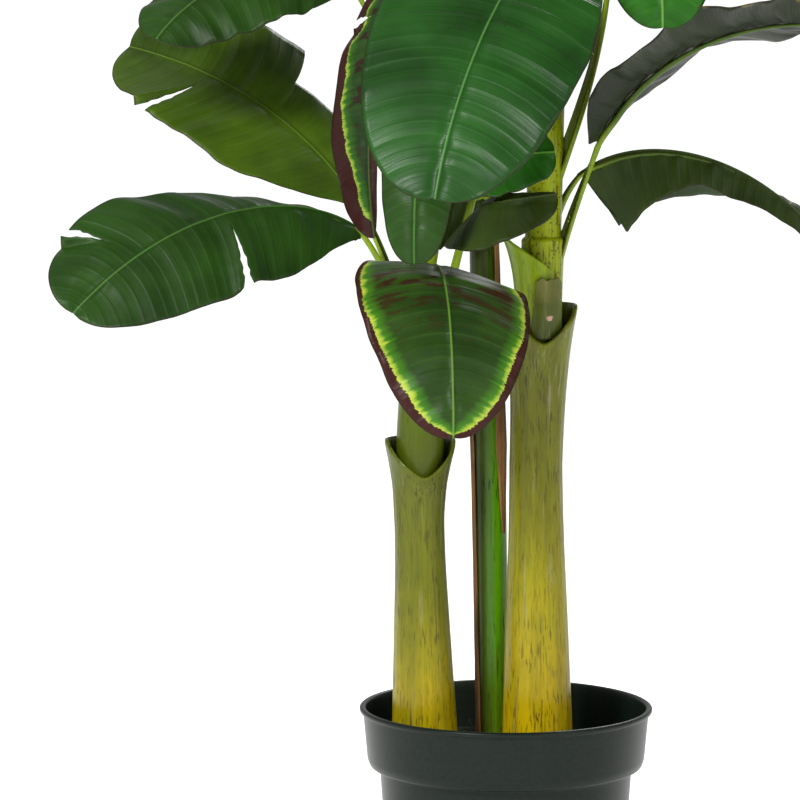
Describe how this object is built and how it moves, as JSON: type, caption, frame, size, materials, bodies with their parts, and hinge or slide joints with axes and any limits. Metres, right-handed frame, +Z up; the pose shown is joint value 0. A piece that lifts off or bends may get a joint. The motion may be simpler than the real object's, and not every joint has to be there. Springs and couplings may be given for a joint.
{
  "type": "artificial banana plant in a pot",
  "caption": "Artificial banana plant with moulded stems and long-stalked fabric leaves, cast into a round nursery pot.",
  "frame": {"origin": "middle of the pot's flat underside", "axes": "+Z up along the stems, -Y towards the plant's front, +X to its right seen from the front"},
  "size_m": [0.8126, 0.776, 1.5],
  "materials": {
    "pot": "satin dark green",
    "casting": "rough, dark, with fibre",
    "sheath": "satin yellow olive",
    "core": "satin olive green",
    "slim_stem": "satin green",
    "snag": "dull grey olive",
    "husk": "dry brown fibre",
    "stalk": "satin lime green",
    "leaf": "coated, glossy green"
  },
  "bodies": {
    "root": {"pot": "pot", "casting": "casting", "sheath_a": "sheath", "core_a": "core", "sheath_b": "sheath", "core_b": "core", "stem_c": "slim_stem", "spear": "stalk", "collar_a": "stalk", "snag_a": "snag", "husk_c1": "husk", "husk_c2": "husk", "stalk_b1": "stalk", "stalk_b2": "stalk", "stalk_b3": "stalk", "stalk_b4": "stalk", "stalk_b5": "stalk", "stalk_b6": "stalk", "stalk_b7": "stalk", "stalk_a1": "stalk", "stalk_a2": "stalk", "stalk_a3": "stalk", "stalk_a4": "stalk", "stalk_a5": "stalk", "stalk_a6": "stalk", "stalk_a7": "stalk", "stalk_c1": "stalk", "stalk_c2": "stalk", "stalk_t1": "stalk", "stalk_t2": "stalk", "stalk_t3": "stalk", "stalk_t4": "stalk", "stalk_t5": "stalk", "stalk_t6": "stalk", "blade_b1": "leaf", "blade_b2": "leaf", "blade_b3": "leaf", "blade_b4": "leaf", "blade_b5": "leaf", "blade_b6": "leaf", "blade_b7": "leaf", "blade_a1": "leaf", "blade_a2": "leaf", "blade_a3": "leaf", "blade_a4": "leaf", "blade_a5": "leaf", "blade_a6": "leaf", "blade_a7": "leaf", "blade_c1": "leaf", "blade_c2": "leaf", "blade_t1": "leaf", "blade_t2": "leaf", "blade_t3": "leaf", "blade_t4": "leaf", "blade_t5": "leaf", "blade_t6": "leaf"}
  },
  "joints": []
}
